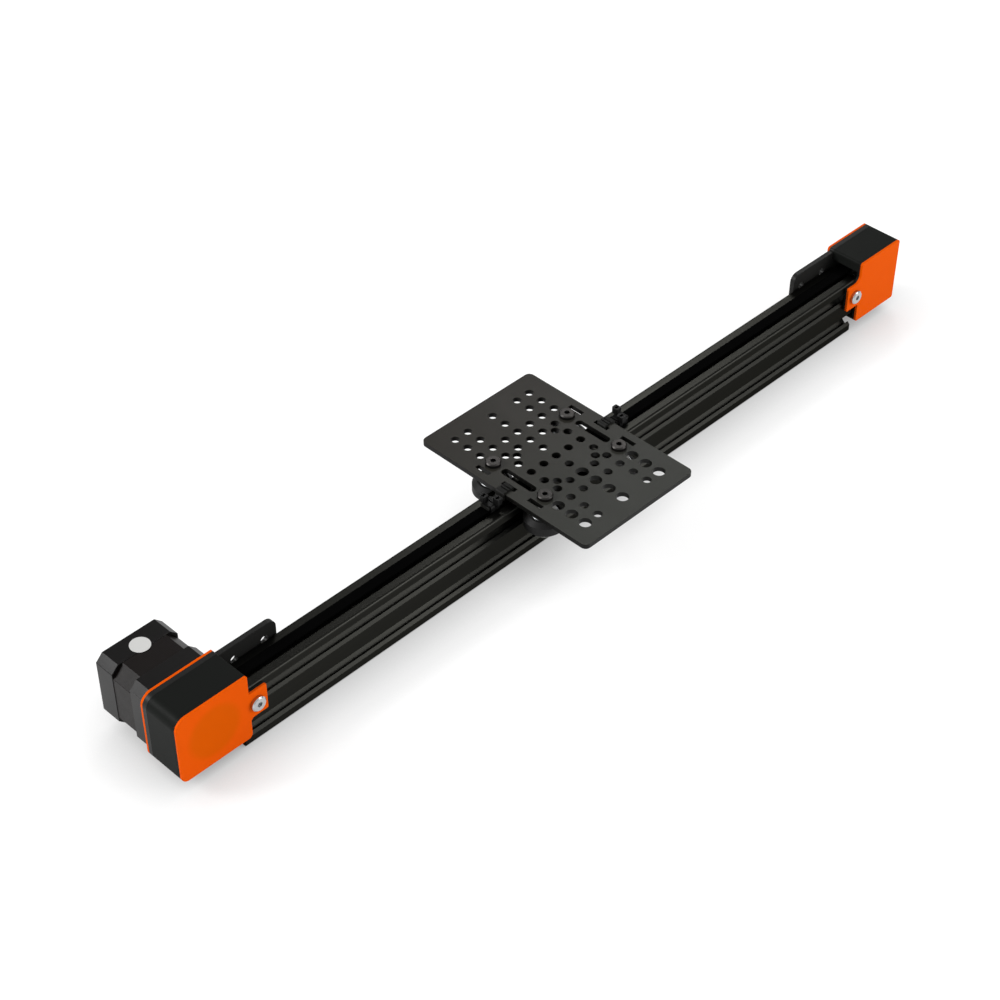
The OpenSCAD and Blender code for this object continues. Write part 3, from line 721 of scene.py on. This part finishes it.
@dataclass
class EndBlock:
    """One end block: plates, liner, cover and bracket.

    Attributes:
        end: Which end of the rail it stands at.
        edge: Width of its rounded edges.
    """

    end: End
    edge: float = 0.25 * MM

    def build(self) -> None:
        """Dress the block's plates and round their edges."""
        soften(f"front_plate_{self.end.value}", self.front_finish(), self.edge)
        soften(f"rear_plate_{self.end.value}", ORANGE, self.edge)
        soften(f"cover_{self.end.value}", COVER, self.edge)
        soften(f"rear_bracket_{self.end.value}", BRACKET, self.edge)
        dress(f"front_liner_{self.end.value}", COVER)

    def front_finish(self) -> Finish:
        """Choose the front plate's finish: the motor's has a round patch over the pulley.

        Returns:
            The finish.
        """
        if self.end is not End.MOTOR:
            return ORANGE
        axis = middle("cover_motor")
        return DiscFinish(
            "orange_front_motor", "e65806", "e15405", (0.38, 0.46), grain=0.35 * MM,
            depth=0.006 * MM, specular=0.012, centre=(axis.x, axis.z),
        )


@dataclass
class Motor:
    """The stepper motor.

    Attributes:
        edge: Width of its rounded edges.
        sticker_radius: Radius of the sticker.
        sticker_thickness: Thickness of the sticker, half of which is above its middle.
        sticker_inset: Distance from the motor's rear end to the sticker's middle.
        sticker_sink: Depth of the sticker's middle under the cap's top.
        sticker_sides: Number of sides that its circle is made of.
    """

    edge: float = 0.4 * MM
    sticker_radius: float = 5.6 * MM
    sticker_thickness: float = 0.1 * MM
    sticker_inset: float = 9.6 * MM
    sticker_sink: float = 0.02 * MM
    sticker_sides: int = 64

    def build(self) -> None:
        """Dress the motor and put the blank sticker on top."""
        soften("motor_front_cap", MOTOR_CAP, self.edge)
        soften("motor_rear_cap", MOTOR_CAP, self.edge)
        soften("motor_stack", STACK, self.edge)
        dress("motor_body_screws", STEEL)
        dress("motor_mount_screws", STEEL)
        dress("motor_connector", SOCKET)
        dress("motor_shaft", STEEL)
        self.sticker()

    def sticker(self) -> None:
        """Make the round blank sticker on top of the rear cap."""
        low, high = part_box("motor_rear_cap")
        centre = Vector(((low.x + high.x) / 2, high.y - self.sticker_inset, high.z - self.sticker_sink))
        mesh = bmesh.new()
        bmesh.ops.create_cone(
            mesh, cap_ends=True, segments=self.sticker_sides, radius1=self.sticker_radius,
            radius2=self.sticker_radius, depth=self.sticker_thickness,
            matrix=Matrix.Translation(centre),
        )
        add_piece(mesh, "motor_sticker", STICKER, "base")


@dataclass
class BeltDrive:
    """Belt, drive pulley and idler."""

    def build(self) -> None:
        """Dress the belt and both toothed wheels."""
        dress("belt", BELT)
        dress("drive_pulley", ALUMINIUM)
        dress("pulley_grub_screws", DARK_STEEL)
        # Painted shade: the idler wheel, axle and spacers take dark steel, though the drive pulley is bare
        # aluminium, so the inside of the idler cover stays black.
        for node in ("idler_wheel", "idler_axle", "idler_spacers"):
            dress(node, DARK_STEEL)
        dress("idler_bearings", STEEL)


@dataclass
class Carriage:
    """Plate, wheels, spacers and belt ends.

    Attributes:
        edge: Width of the rounded edges of the plate and the ties.
        belt_edge: Width of the belt ends' rounded edges.
        seal_inner: Inner radius of the bearings' seals.
        seal_outer: Outer radius of the bearings' seals.
        seal_edge: Half the width of the seals' soft edge.
    """

    edge: float = 0.25 * MM
    belt_edge: float = 0.12 * MM
    seal_inner: float = 3.9 * MM
    seal_outer: float = 7.1 * MM
    seal_edge: float = 0.05 * MM

    def build(self) -> None:
        """Dress the carriage and its wheels."""
        soften("carriage_plate", PLATE, self.edge)
        for node in ("wheel_screws", "fixed_spacers"):
            dress(node, DARK_STEEL)
        # Painted shade: these sit under the plate and take darkened steel.
        for node in ("wheel_nuts", "wheel_shims", "eccentric_spacers"):
            dress(node, SHADED_DULL_STEEL)
        for end in End:
            soften(f"belt_end_{end.value}_side", BELT_END, self.belt_edge)
            soften(f"cable_ties_{end.value}_side", TIE, self.edge)
            for side in Side:
                dress(f"wheel_{side.value}_{end.value}_side", WHEEL)
                dress(f"bearings_{side.value}_{end.value}_side", self.sealed(side, end))

    def sealed(self, side: Side, end: End) -> DiscFinish:
        """Make the finish of one wheel's bearings: steel rings with black seals between, the rings' steel
        darkened by painted shade from the plate above.

        Args:
            side: The wheel's side of the rail.
            end: The wheel's end of the plate.

        Returns:
            The finish.
        """
        axis = middle(f"bearings_{side.value}_{end.value}_side")
        # Painted shade: the rings' steel is darker than bright steel because they sit under the plate.
        return DiscFinish(
            f"bearing_{side.value}_{end.value}", "5c5d5e", "505152", (0.24, 0.34), metallic=1.0,
            grain=0.3 * MM, depth=0.004 * MM, patch="161616", about=Axis.Z,
            centre=(axis.x, axis.y), inner=self.seal_inner, outer=self.seal_outer,
            edge=self.seal_edge,
        )


@dataclass
class Fasteners:
    """Screws and nuts in the rail's slots."""

    def build(self) -> None:
        """Dress screws and nuts."""
        dress("slot_screws", STEEL)
        dress("slot_nuts", STEEL)


# ---------------------------------------------------------------- studio


@dataclass(frozen=True)
class Lamp:
    """A round soft box that looks at the middle of the part.

    Attributes:
        name: The lamp's name.
        place: Where it hangs.
        size: Its diameter.
        power: Its power in watts.
    """

    name: str
    place: tuple[float, float, float]
    size: float
    power: float


@dataclass
class Studio:
    """Floor, lamps, world and camera.

    Attributes:
        azimuth: Degrees that the camera stands round from the front.
        elevation: Degrees that it looks down.
        roll: Degrees that it leans.
        lens: Its focal length in millimetres.
        sensor: Width of its sensor in millimetres.
        eye: Where it stands.
        floor_size: Width of the floor.
        floor_base: Lightness of the floor as the part is lit by it.
        floor_seen: Lightness of the floor as the camera and reflections see it.
        floor_glow: Light that the floor adds near the part where it is seen.
        floor_rough: Roughness of the floor.
        contact_reach: How far from the part its contact shade reaches.
        contact_depth: Share of the floor's light that the contact shade takes away at most.
        far_floor: Distances from the middle where the floor starts to turn white and is white.
        bright_side: Direction that the world is brightest in.
        fill: Strength of the world on its dim side and on its bright side.
        lamps: The soft boxes.
    """

    azimuth: float = -45.517
    elevation: float = 41.106
    roll: float = 0.131
    lens: float = 78.31
    sensor: float = 36.0
    eye: tuple[float, float, float] = (-0.69819, -0.63138, 0.82707)
    floor_size: float = 12.0
    floor_base: float = 0.8
    floor_seen: float = 0.28
    floor_glow: float = 0.82
    floor_rough: float = 0.9
    contact_reach: float = 40 * MM
    contact_depth: float = 0.78
    far_floor: tuple[float, float] = (0.6, 2.4)
    bright_side: tuple[float, float, float] = (-0.66, -0.66, 0.36)
    fill: tuple[float, float] = (0.12, 0.68)
    lamps: tuple[Lamp, ...] = (
        Lamp("front", (1.20, -1.92, 0.72), 1.4, 28.0),
        Lamp("back", (1.50, 1.27, 1.62), 0.6, 9.5),
        Lamp("side", (-1.58, 1.27, 1.29), 0.9, 36.0),
    )

    def build(self) -> None:
        """Build the studio."""
        self.floor()
        self.world()
        for lamp in self.lamps:
            self.light(lamp)
        self.camera()
        bpy.context.scene.view_settings.view_transform = "Standard"

    def floor(self) -> None:
        """Lay a large white floor under the part."""
        mesh = bmesh.new()
        bmesh.ops.create_grid(mesh, x_segments=1, y_segments=1, size=self.floor_size / 2)
        data = bpy.data.meshes.new("floor")
        mesh.to_mesh(data)
        mesh.free()
        data.materials.append(self.floor_material())
        floor = bpy.data.objects.new("floor", data)
        bpy.context.scene.collection.objects.link(floor)
        log.info("laid the floor")

    def floor_material(self) -> Material:
        """Make a floor that is seen white and keeps the part's shadow and contact shade.

        Returns:
            The material.
        """
        material = bpy.data.materials.new("floor_white")
        material.use_nodes = True
        tree = Tree(material.node_tree)
        shader = material.node_tree.nodes["Principled BSDF"]
        seen = self.seen(tree)
        lit, looked_at = ((level, level, level, 1.0) for level in (self.floor_base, self.floor_seen))
        tree.feed(shader, "Base Color", tree.mix(seen, lit, looked_at))
        tree.feed(shader, "Roughness", self.floor_rough)
        tree.feed(shader, "Specular IOR Level", 0.0)
        near = tree.add("ShaderNodeAmbientOcclusion", Distance=self.contact_reach)
        contact = tree.remap(near.outputs["AO"], (1.0 - self.contact_depth, 1.0))
        away = tree.measure("LENGTH", tree.place("Object"))
        whiteness = tree.remap(away, (self.floor_glow, 1.0), self.far_floor)
        glow = tree.math("MULTIPLY", whiteness, contact)
        tree.feed(shader, "Emission Color", WHITE)
        tree.feed(shader, "Emission Strength", tree.math("MULTIPLY", seen, glow))
        return material

    def seen(self, tree: Tree) -> NodeSocket:
        """Tell the rays that look at a surface, straight, in a reflection or through glass.

        Args:
            tree: The tree that the Light Path node goes into.

        Returns:
            A socket that is 1 for those rays and 0 for others.
        """
        path = tree.add("ShaderNodeLightPath").outputs
        mirrored = tree.math("MAXIMUM", path["Is Glossy Ray"], path["Is Transmission Ray"])
        return tree.math("MAXIMUM", path["Is Camera Ray"], mirrored)

    def world(self) -> None:
        """Light softly from all round, more from the bright side; seen straight it is white."""
        world = bpy.data.worlds.new("studio")
        world.use_nodes = True
        bpy.context.scene.world = world
        tree = Tree(world.node_tree)
        background = world.node_tree.nodes["Background"]
        facing = tree.measure("DOT_PRODUCT", tree.place("Generated"), self.bright_side)
        fill = tree.remap(facing, self.fill, (-1.0, 1.0), smooth=True)
        path = tree.add("ShaderNodeLightPath").outputs
        straight = tree.math("MAXIMUM", path["Is Camera Ray"], path["Is Transmission Ray"])
        tree.feed(background, "Color", WHITE)
        tree.feed(background, "Strength", tree.math("MAXIMUM", fill, straight))

    def light(self, lamp: Lamp) -> None:
        """Add one soft box.

        Args:
            lamp: Its place, size and power.
        """
        data = bpy.data.lights.new(lamp.name, "AREA")
        data.shape = "DISK"
        data.size = lamp.size
        data.energy = lamp.power
        box = bpy.data.objects.new(lamp.name, data)
        box.location = lamp.place
        box.rotation_euler = (-Vector(lamp.place)).to_track_quat("-Z", "Y").to_euler()
        bpy.context.scene.collection.objects.link(box)
        log.info("hung the %s lamp", lamp.name)

    def camera(self) -> None:
        """Set the camera up at the view's angle."""
        turn, rise, lean = (math.radians(a) for a in (self.azimuth, self.elevation, self.roll))
        back = Vector((math.sin(turn) * math.cos(rise), -math.cos(turn) * math.cos(rise), math.sin(rise)))
        level = Vector((math.cos(turn), math.sin(turn), 0.0))
        upright = back.cross(level)
        right = level * math.cos(lean) + upright * math.sin(lean)
        up = upright * math.cos(lean) - level * math.sin(lean)
        data = bpy.data.cameras.new("camera")
        data.lens = self.lens
        data.sensor_width = self.sensor
        camera = bpy.data.objects.new("camera", data)
        camera.matrix_world = Matrix.Translation(self.eye) @ Matrix((right, up, back)).transposed().to_4x4()
        bpy.context.scene.collection.objects.link(camera)
        bpy.context.scene.camera = camera


def main() -> None:
    """Build the studio and dress the part."""
    logging.basicConfig(level=logging.INFO, format="%(name)s: %(message)s")
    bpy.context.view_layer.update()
    Studio().build()
    Rail().build()
    for end in End:
        EndBlock(end).build()
    Motor().build()
    BeltDrive().build()
    Carriage().build()
    Fasteners().build()


if __name__ == "__main__":
    main()
